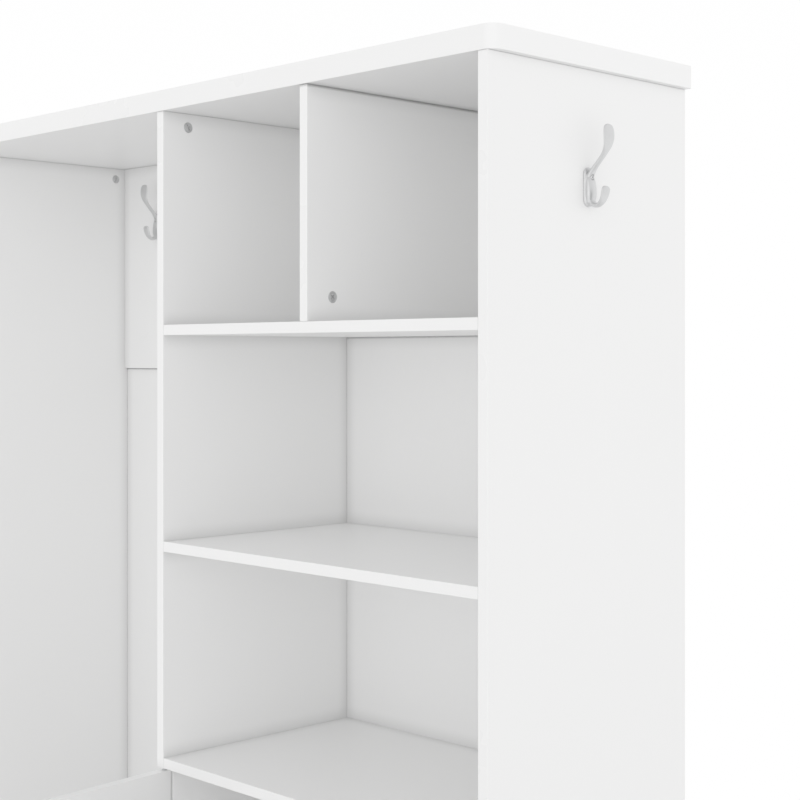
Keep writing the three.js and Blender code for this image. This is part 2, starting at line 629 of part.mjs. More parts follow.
// The knob stands on y = 0 and grows along +Y, with a blind hole for its bolt.
function makeKnob() {
  const boltHole = KNOB_BOLT_RADIUS + FIT;
  return turned([
    [0, KNOB_BOLT_DEPTH + 1],
    [boltHole, KNOB_BOLT_DEPTH + 1],
    [boltHole, FIT],
    [8, FIT],
    [8, 1.5],
    [5.5, 4],
    [5, 9],
    [8, 13],
    [12, 16.5],
    [12.5, 19.5],
    [10.5, 22],
    [6, 23.3],
    [0, 23.7],
  ], 24);
}

// The bolt's head seat is at y = 0 and its shank runs along -Y.
function makeKnobBolt() {
  return turned([
    [0, -BOARD - KNOB_BOLT_DEPTH],
    [KNOB_BOLT_RADIUS, -BOARD - KNOB_BOLT_DEPTH],
    [KNOB_BOLT_RADIUS, FIT],
    [3.8, FIT],
    [3.8, 1.4],
    [2.6, 2.3],
    [0, 2.3],
  ], 16);
}

function addDoor(side, direction, pivotX, opening) {
  const group = new THREE.Group();
  group.position.set(pivotX, PIVOT_Y, 0);
  group.rotation.z = THREE.MathUtils.degToRad(opening);
  hallTree.add(group);

  add(`${side}_door`, makeDoorLeaf(direction), whiteBoard, group);
  const topPin = makePivotPin().rotateX(Math.PI / 2).translate(0, 0, DOOR_TOP);
  const bottomPin = makePivotPin().rotateX(-Math.PI / 2).translate(0, 0, DOOR_BOTTOM);
  add(`${side}_door_top_pivot`, topPin, steel, group);
  add(`${side}_door_bottom_pivot`, bottomPin, steel, group);

  const knobX = direction * KNOB_REACH;
  const knob = makeKnob().rotateX(Math.PI).translate(knobX, -HALF_BOARD, KNOB_HEIGHT);
  add(`${side}_door_knob`, knob, satinMetal, group);
  const bolt = makeKnobBolt().translate(knobX, HALF_BOARD, KNOB_HEIGHT);
  add(`${side}_door_knob_bolt`, bolt, steel, group);

  const strikeX = DOOR_MEETING_X - direction * STRIKE_FROM_MEETING - pivotX;
  const strikeBack = HALF_BOARD + FIT;
  const strike = block([strikeX - STRIKE_WIDTH / 2, strikeX + STRIKE_WIDTH / 2],
    [strikeBack, strikeBack + STRIKE_THICKNESS], [DOOR_TOP - 1 - STRIKE_HEIGHT, DOOR_TOP - 1]);
  add(`${side}_door_strike`, strike, steel, group);

  const topBush = makeBush().rotateX(Math.PI / 2).translate(pivotX, PIVOT_Y, CABINET_CEILING);
  const bottomBush = makeBush().rotateX(-Math.PI / 2).translate(pivotX, PIVOT_Y, PLINTH_HEIGHT);
  add(`${side}_door_top_bush`, topBush, whitePlastic);
  add(`${side}_door_bottom_bush`, bottomBush, whitePlastic);
}

function makeDoors() {
  addDoor('left', 1, 0, -LEFT_DOOR_OPENING);
  addDoor('right', -1, RIGHT_PIVOT_X, 0);
}

// ---- Cam locks and feet ----
function makeCam([x, y, z]) {
  const face = x - FIT;
  const bottom = x - CAM_DEPTH + FIT;
  const slotFloor = face - CAM_SLOT_DEPTH;
  const halfSlot = CAM_SLOT_WIDTH / 2;
  const reach = CAM_RADIUS * 0.62;
  return cut(rod(CAM_RADIUS, face - bottom, [bottom, y, z], 'x', 24), [
    block([slotFloor, x], [y - halfSlot, y + halfSlot], [z - reach, z + reach]),
    block([slotFloor, x], [y - reach, y + reach], [z - halfSlot, z + halfSlot]),
  ]);
}

function makeFoot() {
  return turned([
    [0, 0],
    [FOOT_RADIUS - 1, 0],
    [FOOT_RADIUS, 1],
    [FOOT_RADIUS, FOOT_HEIGHT - FIT],
    [FOOT_NAIL_RADIUS, FOOT_HEIGHT - FIT],
    [FOOT_NAIL_RADIUS, FOOT_HEIGHT + FOOT_NAIL_LENGTH - 2],
    [0, FOOT_HEIGHT + FOOT_NAIL_LENGTH - 0.5],
  ], 16).rotateX(Math.PI / 2);
}

function makeHardware() {
  add('divider_cam', makeCam(DIVIDER_CAM), greyPlastic);
  add('cubby_divider_cam', makeCam(CUBBY_CAM), greyPlastic);
  add('left_end_cam', makeCam(LEFT_CAM), greyPlastic);

  const feet = [
    ['left_front_foot', -PANEL_MIDDLE_X, FOOT_FRONT_Y],
    ['left_back_foot', -PANEL_MIDDLE_X, FOOT_BACK_Y],
    ['right_front_foot', PANEL_MIDDLE_X, FOOT_FRONT_Y],
    ['right_back_foot', PANEL_MIDDLE_X, FOOT_BACK_Y],
    ['centre_foot', 0, 0],
  ];
  for (const [name, x, y] of feet) {
    add(name, makeFoot().translate(x, y, 0), whitePlastic);
  }
}

makeTopPanel();
makeUprights();
makeColumnShelves();
makeBench();
makeCabinet();
makeBacks();
makeHooks();
makeDoors();
makeHardware();

export default hallTree;
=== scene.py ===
import math

import bmesh
import bpy
from mathutils import Matrix, Vector


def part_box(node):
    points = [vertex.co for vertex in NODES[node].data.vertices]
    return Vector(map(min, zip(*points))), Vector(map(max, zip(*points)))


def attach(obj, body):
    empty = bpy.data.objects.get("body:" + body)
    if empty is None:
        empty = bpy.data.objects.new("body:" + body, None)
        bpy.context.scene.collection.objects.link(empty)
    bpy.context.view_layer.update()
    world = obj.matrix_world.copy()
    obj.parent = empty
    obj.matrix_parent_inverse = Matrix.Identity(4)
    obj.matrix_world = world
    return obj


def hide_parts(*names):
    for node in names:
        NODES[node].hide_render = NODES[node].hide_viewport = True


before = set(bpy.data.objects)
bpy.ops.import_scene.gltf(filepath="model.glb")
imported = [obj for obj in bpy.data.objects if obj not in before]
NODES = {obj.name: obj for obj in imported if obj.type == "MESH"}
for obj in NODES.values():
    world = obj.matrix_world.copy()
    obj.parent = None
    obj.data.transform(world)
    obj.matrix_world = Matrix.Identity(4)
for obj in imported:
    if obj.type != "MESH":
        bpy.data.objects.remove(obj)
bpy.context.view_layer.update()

MM = 0.001

# ---- Camera ----
# A level two-point view from the front right, with its horizon a little above the middle.
CAMERA_PLACE = (1.8537, -1.5296, 1.4149)
CAMERA_TURN = math.radians(45.46)
CAMERA_LENS = 69.41
CAMERA_SENSOR_WIDTH = 36.0
CAMERA_SHIFT = -0.0549

# ---- Finishes, with some painted light and shade, as linear colours ----
BOARD_WHITE = (0.885, 0.885, 0.882)
SHEET_WHITE = (0.87, 0.87, 0.867)
# painted light: the shelf column's back sheet is painted a lighter white than the other back sheets
COLUMN_SHEET_WHITE = (0.94, 0.94, 0.937)
TOP_UNDERSIDE_SHADE = 0.89  # painted shade: how dark the top's lower face is painted against its other faces
NICKEL = (0.58, 0.585, 0.59)
ZINC = (0.55, 0.56, 0.57)
CAM_GREY = (0.5, 0.505, 0.51)
NYLON = (0.8, 0.8, 0.79)
MAGNET_GREY = (0.2, 0.2, 0.205)
FLOOR_WHITE = (0.8, 0.8, 0.8)

# ---- Floor, in metres. It fades into the dome's base light between the two distances ----
FLOOR_RADIUS = 7.0
FLOOR_FADE = (1.3, 2.4)

# ---- Light: a base level, then lobes of (direction, sharpness, gain) ----
DOME_BASE = 1.0
DOME_LOBES = [
    ((0, -1, 0.05), 16.0, 0.46),
    ((0, -1, 0.05), 4.0, -0.3),
    ((1, -0.2, 0), 3.0, -0.3),
    ((0.7, -0.7, 0), 8.0, 0.78),
    ((-0.7, -0.7, 0), 8.0, -0.3),
    ((0, 0, 1), 3.0, -0.65),
]
DISPLAY_GAMMA = 1.7

# ---- Boards by the direction that their faces look ----
LEVEL_BOARDS = [
    "cubby_shelf", "middle_shelf", "cabinet_top", "cabinet_shelf", "cabinet_bottom",
    "bench_seat", "bench_bottom", "shoe_shelf_left", "shoe_shelf_right",
]
UPRIGHT_BOARDS = ["left_end_panel", "upper_divider", "lower_divider", "bench_divider"]
FACING_BOARDS = ["hook_board", "bench_plinth", "cabinet_plinth"]
BACK_SHEETS = ["cabinet_back_panel", "bay_back_panel", "bench_back_panel"]
LEFT_DOOR_OPENING = math.radians(85)

# ---- Eased edges, in millimetres ----
THICK_BOARDS = ["top_panel", "bench_seat"]
THICK_BOARD_EASE = 1.6
BOARD_EASE = 0.6
SHEET_EASE = 0.3
CATCH_EASE = 1.2
STRIKE_EASE = 0.35
EASED_ANGLE = math.radians(40)

# ---- Shade in the inner corners ----
# Each is (reach in millimetres, depth, openness at full shade, openness without shade).
CORNER_SHADE = (22.0, 0.24, 0.4, 1.0)
SHEET_JOINT_SHADE = (5.0, 0.95, 0.33, 0.55)
BOARD_JOINT_SHADE = (6.0, 0.7, 0.0, 0.5)
SHADE_SAMPLES = 8


# ---- Material helpers ----
class Graph:
    """A material's node tree with short calls to add and join nodes."""

    def __init__(self, name):
        self.material = bpy.data.materials.new(name)
        self.material.use_nodes = True
        self.tree = self.material.node_tree
        self.shader = self.tree.nodes["Principled BSDF"]
        self.coords = self.tree.nodes.new("ShaderNodeTexCoord")

    def node(self, kind, **settings):
        made = self.tree.nodes.new(kind)
        for key, value in settings.items():
            setattr(made, key, value)
        return made

    def join(self, output, socket):
        self.tree.links.new(output, socket)

    def noise(self, scale, detail=2.0, roughness=0.5, vector=None):
        """Noise with its scale in patches to the metre."""
        made = self.node("ShaderNodeTexNoise")
        made.inputs["Scale"].default_value = scale
        made.inputs["Detail"].default_value = detail
        made.inputs["Roughness"].default_value = roughness
        self.join(vector or self.coords.outputs["Object"], made.inputs["Vector"])
        return made.outputs["Fac"]

    def spread(self, value, low, high, from_low=0.3, from_high=0.7):
        """Maps a value from its own span to low and high, and holds it there beyond the span."""
        made = self.node("ShaderNodeMapRange")
        made.inputs["From Min"].default_value = from_low
        made.inputs["From Max"].default_value = from_high
        made.inputs["To Min"].default_value = low
        made.inputs["To Max"].default_value = high
        self.join(value, made.inputs["Value"])
        return made.outputs["Result"]

    def facing(self, direction):
        """The cosine between the surface and a direction."""
        made = self.node("ShaderNodeVectorMath", operation="DOT_PRODUCT")
        self.join(self.coords.outputs["Normal"], made.inputs[0])
        made.inputs[1].default_value = direction
        return made.outputs["Value"]

    def corner_shade(self, reach, depth, closed, opened, direction=None):
        """A factor that falls from 1 to 1 - depth where other surfaces close in within the reach.

        With a direction it counts only what lies on that side of each point.
        """
        made = self.node("ShaderNodeAmbientOcclusion", samples=SHADE_SAMPLES)
        made.inputs["Distance"].default_value = reach * MM
        if direction:
            way = self.node("ShaderNodeCombineXYZ")
            for socket, value in zip(way.inputs, direction):
                socket.default_value = value
            self.join(way.outputs["Vector"], made.inputs["Normal"])
        return self.spread(made.outputs["AO"], 1.0 - depth, 1.0, closed, opened)

    def shaded(self, colour, *factors):
        """A colour times some factors."""
        for factor in factors:
            made = self.node("ShaderNodeVectorMath", operation="SCALE")
            self.join(colour, made.inputs[0])
            self.join(factor, made.inputs["Scale"])
            colour = made.outputs["Vector"]
        return colour

    def mix_colours(self, factor, first, second):
        made = self.node("ShaderNodeMix", data_type="RGBA")
        self.join(factor, made.inputs["Factor"])
        for socket, colour in ((made.inputs[6], first), (made.inputs[7], second)):
            if isinstance(colour, tuple):
                socket.default_value = (*colour, 1.0)
            else:
                self.join(colour, socket)
        return made.outputs[2]

    def maths(self, operation, *values):
        made = self.node("ShaderNodeMath", operation=operation)
        for socket, value in zip(made.inputs, values):
            if isinstance(value, (int, float)):
                socket.default_value = value
            else:
                self.join(value, socket)
        return made.outputs[0]

    def bump(self, height, strength, distance):
        made = self.node("ShaderNodeBump")
        made.inputs["Strength"].default_value = strength
        made.inputs["Distance"].default_value = distance
        self.join(height, made.inputs["Height"])
        self.join(made.outputs["Normal"], self.shader.inputs["Normal"])


def scaled(colour, factor):
    return tuple(channel * factor for channel in colour)


def shade_corners(graph, colour, joint_shade):
    """The painted shade in the inner corners and, when asked, a painted shade line close under what lies
    above.
    """
    factors = [graph.corner_shade(*CORNER_SHADE)]
    if joint_shade:
        factors.append(graph.corner_shade(*joint_shade, direction=(0, 0, 1)))
    return graph.shaded(colour, *factors)


def make_board_material(name, face_direction, corners=True, joint_shade=None, underside_shade=1.0):
    """Satin melamine with a fine pearl texture; the banded edges are smoother and a touch lighter.

    The faces that look down can take painted shade, a darker tone than the other faces.
    """
    graph = Graph(name)
    shader = graph.shader
    shader.inputs["Specular IOR Level"].default_value = 0.45

    on_face = graph.maths("ABSOLUTE", graph.facing(face_direction))
    edge = graph.spread(on_face, 1.0, 0.0, from_low=0.35, from_high=0.8)

    cloud = graph.noise(2.2, detail=3.0)
    speckle = graph.noise(420.0, detail=2.0)
    cloudy = graph.mix_colours(
        graph.spread(cloud, 0.0, 1.0), scaled(BOARD_WHITE, 0.99), scaled(BOARD_WHITE, 1.005))
    flecked = graph.mix_colours(graph.spread(speckle, 0.0, 0.35), cloudy, scaled(BOARD_WHITE, 0.955))
    colour = graph.mix_colours(edge, flecked, scaled(BOARD_WHITE, 1.02))
    # Painted shade in the inner corners and, when asked, a painted shade line under what lies above.
    if corners:
        colour = shade_corners(graph, colour, joint_shade)
    # Painted shade: the faces that look down are painted darker.
    if underside_shade < 1.0:
        looks_down = graph.facing((0, 0, -1))
        colour = graph.shaded(
            colour, graph.spread(looks_down, 1.0, underside_shade, from_low=0.5, from_high=0.9))
    graph.join(colour, shader.inputs["Base Color"])

    handled = graph.noise(7.0, detail=4.0, roughness=0.6)
    face_roughness = graph.spread(handled, 0.32, 0.38)
    edge_drop = graph.maths("MULTIPLY", edge, 0.06)
    graph.join(graph.maths("SUBTRACT", face_roughness, edge_drop), shader.inputs["Roughness"])

    pearl = graph.noise(1100.0, detail=3.0, roughness=0.6)
    waviness = graph.noise(14.0, detail=1.0)
    height = graph.maths("ADD", pearl, graph.maths("MULTIPLY", waviness, 0.25))
    graph.bump(height, strength=0.12, distance=0.12 * MM)
    return graph.material


def make_sheet_material(name, white):
    """Matt foil on thin fibreboard, with a faint print of the fibres below it."""
    graph = Graph(name)
    shader = graph.shader
    shader.inputs["Specular IOR Level"].default_value = 0.35
    stretched = graph.node("ShaderNodeMapping")
    stretched.inputs["Scale"].default_value = (1.0, 1.0, 0.25)
    graph.join(graph.coords.outputs["Object"], stretched.inputs["Vector"])
    fibres = graph.noise(260.0, detail=4.0, roughness=0.65, vector=stretched.outputs["Vector"])
    cloud = graph.noise(1.8, detail=3.0)
    cloudy = graph.mix_colours(graph.spread(cloud, 0.0, 1.0), scaled(white, 0.985), white)
    colour = graph.mix_colours(graph.spread(fibres, 0.0, 0.4), cloudy, scaled(white, 0.96))
    # Painted shade in the inner corners and a painted shade line under what lies above.
    graph.join(shade_corners(graph, colour, SHEET_JOINT_SHADE), shader.inputs["Base Color"])
    graph.join(graph.spread(cloud, 0.46, 0.54), shader.inputs["Roughness"])
    graph.bump(fibres, strength=0.15, distance=0.1 * MM)
    return graph.material


def make_metal_material(name, colour, roughness, grain_scale=700.0, metallic=1.0):
    """Cast or plated metal: fine grain, slow changes in polish, a little darker in the low spots."""
    graph = Graph(name)
    shader = graph.shader
    shader.inputs["Metallic"].default_value = metallic
    grain = graph.noise(grain_scale, detail=3.0, roughness=0.6)
    patches = graph.noise(60.0, detail=3.0)
    tone = graph.mix_colours(graph.spread(patches, 0.0, 1.0), scaled(colour, 0.93), scaled(colour, 1.05))
    grained = graph.mix_colours(graph.spread(grain, 0.0, 0.3), tone, scaled(colour, 0.8))
    graph.join(grained, shader.inputs["Base Color"])
    graph.join(graph.spread(patches, roughness - 0.05, roughness + 0.07), shader.inputs["Roughness"])
    graph.bump(grain, strength=0.1, distance=0.05 * MM)
    return graph.material


def make_plastic_material(name, colour, roughness):
    """Moulded nylon with the fine spark-eroded texture of its tool."""
    graph = Graph(name)
    shader = graph.shader
    texture = graph.noise(1600.0, detail=2.0)
    patches = graph.noise(35.0, detail=2.0)
    tone = graph.mix_colours(graph.spread(patches, 0.0, 1.0), scaled(colour, 0.97), scaled(colour, 1.02))
    graph.join(tone, shader.inputs["Base Color"])
    graph.join(graph.spread(patches, roughness - 0.04, roughness + 0.06), shader.inputs["Roughness"])
    graph.bump(texture, strength=0.2, distance=0.06 * MM)
    return graph.material


# ---- Mesh helpers ----
SHARP_ANGLE = math.radians(35)
MERGE_DISTANCE = 1e-7
WELD_DISTANCE = 1e-6
AXIS_RADIUS_MM = 1e-6  # a ring narrower than this is one vertex on the axis
ROUNDING_SHARE = 0.45  # the most of a profile's side that one corner's rounding may take


def linked(name, mesh):
    """A new object in the scene."""
    piece = bpy.data.objects.new(name, mesh)
    bpy.context.scene.collection.objects.link(piece)
    return piece


def finish_mesh(name, build):
    """Turns a bmesh into an object with clean outward normals, smooth but for its sharp edges."""
    bmesh.ops.remove_doubles(build, verts=build.verts, dist=MERGE_DISTANCE)
    bmesh.ops.recalc_face_normals(build, faces=build.faces)
    mesh = bpy.data.meshes.new(name)
    build.to_mesh(mesh)
    build.free()
    mesh.polygons.foreach_set("use_smooth", [True] * len(mesh.polygons))
    mesh.set_sharp_from_angle(angle=SHARP_ANGLE)
    return linked(name, mesh)


def add_box(build, size_mm, matrix):
    """A box about the origin, then moved by the matrix."""
    made = bmesh.ops.create_cube(build, size=1.0)
    scale = Matrix.Diagonal((*(Vector(size_mm) * MM), 1.0))
    bmesh.ops.transform(build, matrix=matrix @ scale, verts=made["verts"])


def add_skin(build, rings):
    """Joins closed rings of vertices in their order and caps both ends."""
    sides = len(rings[0])
    for low, high in zip(rings, rings[1:]):
        for side in range(sides):
            after = (side + 1) % sides
            build.faces.new((low[side], low[after], high[after], high[side]))
    build.faces.new(list(reversed(rings[0])))
    build.faces.new(rings[-1])


def turned(name, profile, segments):
    """A turned piece about Z. The profile holds (radius, height) pairs in millimetres."""
    build = bmesh.new()
    angles = [2 * math.pi * step / segments for step in range(segments)]
    rings = []
    for radius, height in profile:
        if radius < AXIS_RADIUS_MM:
            rings.append([build.verts.new((0.0, 0.0, height * MM))])
            continue
        rings.append([
            build.verts.new((math.cos(a) * radius * MM, math.sin(a) * radius * MM, height * MM))
            for a in angles
        ])
    for low, high in zip(rings, rings[1:]):
        for step in range(segments):
            after = (step + 1) % segments
            corners = [
                low[step % len(low)], low[after % len(low)],
                high[after % len(high)], high[step % len(high)],
            ]
            unique = list(dict.fromkeys(corners))
            if len(unique) > 2:
                build.faces.new(unique)
    return finish_mesh(name, build)


def rounded_profile(points, radius, steps=4):
    """Rounds every corner of an open (radius, height) profile, but not its two ends."""
    result = [points[0]]
    for before, corner, after in zip(points, points[1:], points[2:]):
        here = Vector(corner)
        back = Vector(before) - here
        ahead = Vector(after) - here
        reach = min(radius, back.length * ROUNDING_SHARE, ahead.length * ROUNDING_SHARE)
        start = here + back.normalized() * reach
        end = here + ahead.normalized() * reach
        for step in range(steps + 1):
            t = step / steps
            point = start * (1 - t) ** 2 + here * 2 * t * (1 - t) + end * t ** 2
            result.append((max(point.x, 0.0), point.y))
    result.append(points[-1])
    return result


def applied(piece):
    """Bakes a piece's modifiers into its mesh."""
    bpy.context.view_layer.update()
    graph = bpy.context.evaluated_depsgraph_get()
    mesh = bpy.data.meshes.new_from_object(piece.evaluated_get(graph))
    piece.modifiers.clear()
    old = piece.data
    piece.data = mesh
    bpy.data.meshes.remove(old)


def give(piece, material):
    piece.data.materials.clear()
    piece.data.materials.append(material)


def place_piece(piece, matrix, body, replaced=()):
    """Sets a piece on its body, in place of the CAD nodes that it stands for."""
    piece.matrix_world = matrix
    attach(piece, body)
    if replaced:
        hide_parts(*replaced)


def axis_frame(origin, direction):
    """A matrix that takes +Z to the direction and the origin to the given point."""
    turn = Vector((0, 0, 1)).rotation_difference(Vector(direction)).to_matrix().to_4x4()
    return Matrix.Translation(Vector(origin)) @ turn


def middle(node):
    low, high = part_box(node)
    return (low + high) / 2


# ---- Boards ----
def ease_edges(node, width_mm, segments=3):
    """Rounds the edges of a CAD solid by a modifier."""
    piece = NODES[node]
    weld = piece.modifiers.new("weld", "WELD")
    weld.merge_threshold = WELD_DISTANCE
    bevel = piece.modifiers.new("eased_edges", "BEVEL")
    bevel.width = width_mm * MM
    bevel.segments = segments
    bevel.limit_method = "ANGLE"
    bevel.angle_limit = EASED_ANGLE
    bevel.use_clamp_overlap = True


def finish_boards():
    # Copies of one melamine that differ in painted shade: the top's lower face painted darker, the cubby
    # divider with a painted shade line under what lies above, and the outer end panel and the doors with
    # no painted corner shade.
    level = make_board_material("melamine_level", (0, 0, 1))
    top = make_board_material("melamine_top", (0, 0, 1), underside_shade=TOP_UNDERSIDE_SHADE)
    upright = make_board_material("melamine_upright", (1, 0, 0))
    joint_shaded = make_board_material("melamine_joint_shaded", (1, 0, 0), joint_shade=BOARD_JOINT_SHADE)
    exposed = make_board_material("melamine_exposed", (1, 0, 0), corners=False)
    facing = make_board_material("melamine_facing", (0, 1, 0))
    left_door_face = (math.sin(LEFT_DOOR_OPENING), math.cos(LEFT_DOOR_OPENING), 0)
    left_door = make_board_material("melamine_left_door", left_door_face, corners=False)
    right_door = make_board_material("melamine_right_door", (0, 1, 0), corners=False)
    kinds = [
        (LEVEL_BOARDS, level), (UPRIGHT_BOARDS, upright), (FACING_BOARDS, facing),
        (["top_panel"], top), (["cubby_divider"], joint_shaded), (["right_end_panel"], exposed),
        (["left_door"], left_door), (["right_door"], right_door),
    ]
    for nodes, material in kinds:
        for node in nodes:
            give(NODES[node], material)
            ease_edges(node, THICK_BOARD_EASE if node in THICK_BOARDS else BOARD_EASE)
    sheet = make_sheet_material("backing_sheet", SHEET_WHITE)
    # Painted light: the shelf column's back sheet is painted a lighter white than the other back sheets.
    column_sheet = make_sheet_material("column_backing_sheet", COLUMN_SHEET_WHITE)
    for node in ("column_back_panel", *BACK_SHEETS):
        give(NODES[node], column_sheet if node == "column_back_panel" else sheet)
        ease_edges(node, SHEET_EASE, segments=2)


# ---- Hooks ----
# Drawn in millimetres with the wall as y = 0 and the plate's middle at the origin, reaching to -Y.
# Each station of an arm is (out from the wall, rise, width, thickness).
UPPER_ARM = [
    (4.0, 11.0, 13.0, 4.6), (7.0, 18.0, 11.0, 5.4), (12.0, 24.5, 9.0, 5.2), (18.7, 31.5, 8.2, 5.0),
    (27.0, 41.0, 10.0, 4.6), (31.6, 49.0, 15.5, 4.0), (33.3, 56.5, 20.0, 3.6), (33.5, 64.0, 21.4, 3.3),
    (33.0, 70.5, 19.8, 3.1), (32.7, 74.2, 14.5, 2.8), (32.5, 75.9, 6.5, 2.0),
]
STEM = [
    (3.4, 16.0, 11.0, 3.6), (4.6, 8.0, 16.0, 7.4), (5.4, -2.0, 17.8, 9.4), (5.4, -12.0, 17.2, 9.4),
    (4.3, -21.0, 13.0, 5.4),
]
LOWER_ARM = [
    (4.0, -9.0, 14.0, 6.0), (6.0, -17.0, 13.5, 7.0), (10.0, -22.0, 12.0, 6.0), (16.0, -23.4, 11.0, 5.0),
    (22.3, -19.8, 12.0, 4.6), (26.6, -12.6, 14.5, 4.2), (28.6, -5.0, 16.4, 3.6),
    (28.8, -1.6, 12.5, 3.0), (28.8, -0.2, 6.0, 2.0),
]
PLATE_WIDTH = 18.8
PLATE_HEIGHT = 49.8
PLATE_THICKNESS = 3.4
PLATE_ROUNDING = 1.9
ARM_SQUARENESS = 0.85  # 1 makes an arm's section an ellipse, and less makes it squarer
SCREW_RISE = 12.0
SCREW_SEAT = 6.3
SCREW_BORE_RADIUS = 2.1
COUNTERBORE_RADIUS = 3.7
COUNTERBORE_FLOOR = 6.0
BORE_REACH = 20.0
PEG_RISE = -13.0
PEG_RADIUS = 2.0
PEG_DEPTH = 4.9
PEG_ROOT = 2.0
HOOK_VOXEL = 0.45
SCREW_TURNS = {"bay_hook_1": 0.3, "bay_hook_2": 1.0, "bay_hook_3": 1.7, "side_hook": 2.4}


def spline(points, t):
    """A Catmull-Rom curve through equal-length tuples, t from 0 to 1."""
    span = t * (len(points) - 1)
    index = min(int(span), len(points) - 2)
    f = span - index
    p0 = points[max(index - 1, 0)]
    p1, p2 = points[index], points[index + 1]
    p3 = points[min(index + 2, len(points) - 1)]
    return [
        0.5 * (2 * b + (c - a) * f + (2 * a - 5 * b + 4 * c - d) * f * f
               + (3 * b - a - 3 * c + d) * f ** 3)
        for a, b, c, d in zip(p0, p1, p2, p3)
    ]


def squared(share):
    return math.copysign(abs(share) ** ARM_SQUARENESS, share)


def add_arm(build, stations, steps=60, sides=28):
    """A bar of changing section along a curve through the stations."""
    rings = []
    for step in range(steps + 1):
        t = step / steps
        out, rise, width, thickness = spline(stations, t)
        before = spline(stations, max(t - 0.01, 0.0))
        after = spline(stations, min(t + 0.01, 1.0))
        along = Vector((0, before[0] - after[0], after[1] - before[1])).normalized()
        through = along.cross(Vector((1, 0, 0)))
        ring = []
        for side in range(sides):
            angle = 2 * math.pi * side / sides
            across = squared(math.cos(angle)) * width / 2
            deep = squared(math.sin(angle)) * thickness / 2
            point = Vector((across, -out, rise)) + through * deep
            ring.append(build.verts.new(point * MM))
        rings.append(ring)
    add_skin(build, rings)


def add_plate(build, sides=72, layers=6):
    """An oblong plate with a rounded rim and a low crown."""
    radius = PLATE_WIDTH / 2
    straight = PLATE_HEIGHT / 2 - radius
    rings = []
    levels = [(0.0, 0.0), (0.0, -PLATE_THICKNESS * 0.5)]
    for layer in range(1, layers + 1):
        angle = math.pi / 2 * layer / layers
        inset = PLATE_ROUNDING * (1 - math.cos(angle))
        levels.append((inset, -PLATE_THICKNESS * (0.5 + 0.5 * math.sin(angle))))
    for inset, level in levels:
        ring = []
        for side in range(sides):
            angle = 2 * math.pi * side / sides
            rise = straight if math.sin(angle) >= 0 else -straight
            ring.append(build.verts.new((
                math.cos(angle) * (radius - inset) * MM,
                level * MM,
                (rise + math.sin(angle) * (radius - inset)) * MM,
            )))
        rings.append(ring)
    add_skin(build, rings)


def add_wall_rod(build, radius, start, end, rise, sides=36):
    """A closed rod from one distance out of the wall to another."""
    angles = [2 * math.pi * side / sides for side in range(sides)]
    rings = []
    for out in (start, end):
        rings.append([
            build.verts.new((math.cos(a) * radius * MM, -out * MM, (rise + math.sin(a) * radius) * MM))
            for a in angles
        ])
    add_skin(build, rings)


def subtract(piece, build):
    """Cuts a bmesh out of a piece."""
    cutter = finish_mesh("cutter", build)
    boolean = piece.modifiers.new("cut", "BOOLEAN")
    boolean.operation = "DIFFERENCE"
    boolean.solver = "EXACT"
    boolean.use_self = True
    boolean.object = cutter
    applied(piece)
    bpy.data.objects.remove(cutter)
    piece.data.set_sharp_from_angle(angle=SHARP_ANGLE)


def make_hook_mesh():
    """One casting: plate, stem, arms and peg run together by a voxel remesh, then bored for the screw."""
    build = bmesh.new()
    add_plate(build)
    for stations in (STEM, UPPER_ARM, LOWER_ARM):
        add_arm(build, stations)
    add_wall_rod(build, PEG_RADIUS, -PEG_DEPTH, PEG_ROOT, PEG_RISE)
    hook = finish_mesh("hook_casting", build)
    remesh = hook.modifiers.new("remesh", "REMESH")
    remesh.mode = "VOXEL"
    remesh.voxel_size = HOOK_VOXEL * MM
    relax = hook.modifiers.new("relax", "SMOOTH")
    relax.factor = 0.5
    relax.iterations = 6
    thin = hook.modifiers.new("thin", "DECIMATE")
    thin.ratio = 0.3
    applied(hook)
    for radius, start in ((SCREW_BORE_RADIUS, -1.0), (COUNTERBORE_RADIUS, COUNTERBORE_FLOOR)):
        bore = bmesh.new()
        add_wall_rod(bore, radius, start, BORE_REACH, SCREW_RISE)
        subtract(hook, bore)
    mesh = hook.data
    mesh.polygons.foreach_set("use_smooth", [True] * len(mesh.polygons))
    bpy.data.objects.remove(hook)
    return mesh


def make_cross_head(name, radius, height, recess_radius, recess_depth, shank_radius, shank_length):
    """A pan-head screw with a cross recess. The seat is z = 0, the head is above it."""
    head = turned(name, rounded_profile([
        (0.0, -shank_length), (shank_radius * 0.3, -shank_length + 0.2),
        (shank_radius, -shank_length + shank_radius * 2), (shank_radius, 0.0),
        (radius, 0.0), (radius, height * 0.45), (radius * 0.72, height), (0.0, height),
    ], 0.35), segments=40)
    recess = bmesh.new()
    slot = (recess_radius * 2, recess_radius * 0.42, recess_depth * 2)
    lift = Matrix.Translation((0, 0, height * MM))
    for turn in (0.0, math.pi / 2):
        add_box(recess, slot, lift @ Matrix.Rotation(turn, 4, "Z"))
    subtract(head, recess)
    return head


